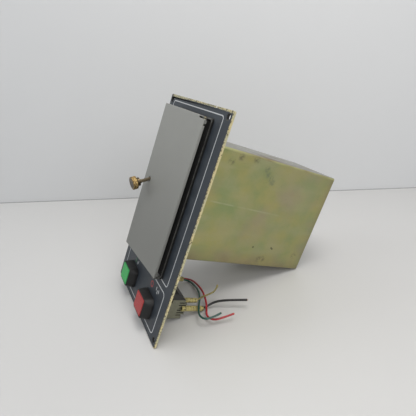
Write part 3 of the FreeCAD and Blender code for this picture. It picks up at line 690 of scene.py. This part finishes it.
ring = (brass.fall(radial, screw["ringOuter"], screw["ringOuter"] + 0.0008)
        * brass.step(radial, screw["ringInner"], screw["ringInner"] + 0.0005))
brass.colour(brass.layers(brass.mix(screw["collarLight"], screw["collarDark"], age), (screw["ring"], ring)))
brass.rough(0.28 + 0.3 * age)
brass.relief(brass.noise(900, 2), 0.0001, 0.5)

knobPaint = Paint("knobBrass", screw["knobLight"])
age = knobPaint.step(knobPaint.noise(screw["ageScale"], 4), 0.36, 0.72)
radial = knobPaint.fromAxis(screw["pivot"], screw["axis"])
dish = knobPaint.fall(radial, screw["dishRadius"], screw["dishRadius"] + 0.0008)
knobPaint.colour(knobPaint.layers(knobPaint.mix(screw["knobLight"], screw["knobDark"], age),
                                  (screw["dish"], dish * (0.75 + 0.25 * age))))
knobPaint.rough(0.30 + 0.25 * age)
knobPaint.metal(1.0 - 0.4 * dish)

threadPaint = Paint("threadBrass", screw["threadCrestLight"], 0.4, 0.9)
# painted shade: the thread's roots are coloured dark and its crests lighter
along = threadPaint.vectors("DOT_PRODUCT", threadPaint.here(), screw["axis"])
paintedRidgeLight = threadPaint.maths("PINGPONG", along, screw["threadPitch"] / 2) * screw["threadGain"]
threadPaint.colour(threadPaint.mix(screw["threadRootShade"], screw["threadCrestLight"], paintedRidgeLight))
threadPaint.relief(paintedRidgeLight, 0.0003, 1.0)

piece = softened("thumbscrew_knob", screw["edge"])
finishPiece(piece, "screwKnob", "screw_turn", knobPaint, "brass", "thumbscrew_knob")
piece = softened("thumbscrew_collar", screw["edge"])
finishPiece(piece, "screwCollar", "screw_slide", brass, "brass", "thumbscrew_collar")
piece = softened("thumbscrew_shaft", screw["edge"])
finishPiece(piece, "screwShaft", "screw_turn", threadPaint, "brass", "thumbscrew_shaft")
piece = softened("retaining_clip", screw["washerEdge"])
finishPiece(piece, "screwWasher", "screw_washer", hardware, "zinc_steel", "retaining_clip")
print("door done")

# push buttons: a black bezel, a coloured cap with a fine checked face, and the bridge it pushes
button = {
    "bezelEdge": 0.0006, "bezelSteps": 3, "capEdge": 0.0004, "bridgeEdge": 0.0002,
    "bezel": (0.006, 0.006, 0.006), "checks": 700.0,
    "caps": {"start": ("greenLens", (0.020, 0.36, 0.075), "green_plastic"),
             "stop": ("redLens", (0.36, 0.022, 0.022), "red_plastic")},
}
bezelPaint = Paint("bezelBlack", button["bezel"])
bezelPaint.rough(0.48 + 0.15 * bezelPaint.noise(260, 3))
bezelPaint.relief(bezelPaint.noise(1300, 3), 0.00006, 0.6)
capPaints = {}
for name, (finish, colour, slot) in button["caps"].items():
    paint = Paint(finish, colour, 0.45)
    checks = paint.node("ShaderNodeTexChecker", None, {"Vector": paint.spot(), "Scale": button["checks"]}, 1)
    paint.relief(checks, 0.0001, 0.4)
    capPaints[name] = paint
    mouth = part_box(name + "_bezel")[0][1]
    piece = softened(name + "_bezel", button["bezelEdge"], button["bezelSteps"], mouth)
    finishPiece(piece, name + "Bezel", "panel", bezelPaint, "black_phenolic", name + "_bezel")
    piece = softened(name + "_cap", button["capEdge"])
    finishPiece(piece, name + "Cap", name + "_button", paint, slot, name + "_cap")
    piece = softened(name + "_bridge", button["bridgeEdge"])
    finishPiece(piece, name + "Bridge", name + "_button", contact, "contact_brass", name + "_bridge")

# contact blocks behind the buttons, with a dark slot down the side of each
block = {
    "edge": 0.0003, "dark": (0.105, 0.104, 0.068), "light": (0.185, 0.182, 0.130),
    "slot": (0.008, 0.008, 0.007), "slotAt": (0.0554, -0.0206), "slotStart": 0.0165, "grain": 1200,
}
olive = Paint("oliveMoulding", block["dark"], 0.45)
slot = None
for x in block["slotAt"]:
    near = olive.fall(olive.away(olive.axis("X") - x), 0.0002, 0.0007)
    slot = near if slot is None else olive.larger(slot, near)
slot = slot * olive.step(olive.axis("Y"), block["slotStart"], block["slotStart"] + 0.001)
olive.colour(olive.layers(olive.mix(block["dark"], block["light"], olive.noise(300, 4)),
                          (block["slot"], slot)))
olive.relief(olive.noise(block["grain"], 3), 0.0001, 0.6)
for name in button["caps"]:
    piece = softened(name + "_block", block["edge"])
    finishPiece(piece, name + "Block", "panel", olive, "olive_moulding", name + "_block")
    piece = softened(name + "_crown", block["edge"])
    finishPiece(piece, name + "Crown", "panel", blackSatin, "black_moulding", name + "_crown")

# marker sleeves on the leads: yellow, grimy, with broken dark rings
sleeve = {
    "edge": 0.0003, "clean": (0.40, 0.34, 0.13), "grimy": (0.12, 0.10, 0.04), "ring": (0.035, 0.028, 0.015),
    "ringPitch": 0.0042, "ringGain": 470.0, "ringStrength": 0.85, "grimeScale": 330, "breakScale": 260,
}
sleevePaint = Paint("yellowSleeve", sleeve["clean"])
grime = sleevePaint.step(sleevePaint.noise(sleeve["grimeScale"], 4), 0.5, 0.66)
rings = sleevePaint.maths("PINGPONG", sleevePaint.axis("Y"), sleeve["ringPitch"] / 2) * sleeve["ringGain"]
broken = sleevePaint.step(sleevePaint.noise(sleeve["breakScale"], 2), 0.46, 0.54)
rings = sleevePaint.step(rings, 0.78, 0.92) * broken
sleevePaint.colour(sleevePaint.layers(sleevePaint.mix(sleeve["clean"], sleeve["grimy"], grime),
                                      (sleeve["ring"], rings * sleeve["ringStrength"])))
sleevePaint.rough(0.36 + 0.3 * grime)
piece = softened("marker_sleeves", sleeve["edge"])
finishPiece(piece, "markerSleeves", "panel", sleevePaint, "sleeve_yellow", "marker_sleeves")
print("buttons done")

# inner and rear pieces: edge width, body, finish and slot
inner = {
    "weld_nut": (0.0003, "panel", hardware, "zinc_steel"),
    "locknuts": (0.0004, "panel", hardware, "zinc_steel"),
    "panel_studs": (0.0003, "panel", hardware, "zinc_steel"),
    "flange_nuts": (0.0003, "panel", hardware, "zinc_steel"),
    "mount_plate": (0.0003, "panel", plateZinc, "zinc_steel"),
    "grommet": (0.0005, "panel", rubber, "foam_rubber"),
    "contactor_base": (0.0005, "panel", blackSatin, "black_phenolic"),
    "arc_cover": (0.0005, "panel", blackSatin, "black_moulding"),
    "overload_housing": (0.0005, "panel", blackSatin, "black_moulding"),
    "contact_carrier": (0.0003, "contactor_slide", blackSatin, "black_moulding"),
    "armature": (0.0002, "contactor_slide", steel, "core_steel"),
    "fixed_core": (0.0002, "panel", steel, "core_steel"),
    "load_lugs": (0.0001, "panel", contact, "contact_brass"),
    "trip_dial": (0.0002, "dial", nylon, "white_nylon"),
    "reset_button": (0.0003, "reset_plunger", capPaints["stop"], "red_plastic"),
}
for node, (width, body, paint, slot) in inner.items():
    piece = softened(node, width)
    first, *rest = node.split("_")
    finishPiece(piece, first + "".join(word.title() for word in rest), body, paint, slot, node)

# the pieces that keep their CAD shape
others = {
    "block_contacts": contact, "block_terminals": hardware, "start_spring": spring, "stop_spring": spring,
    "mounting_screws": hardware, "coil_bobbin": nylon, "coil_winding": windings, "moving_bridges": contact,
    "power_contacts": contact, "power_terminals": hardware, "return_springs": spring, "heaters": contact,
    "overload_links": contact, "load_terminals": hardware, "reset_spring": spring,
}
for node, paint in others.items():
    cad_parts[node].data.materials.clear()
    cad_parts[node].data.materials.append(paint.material)
print("inside done")
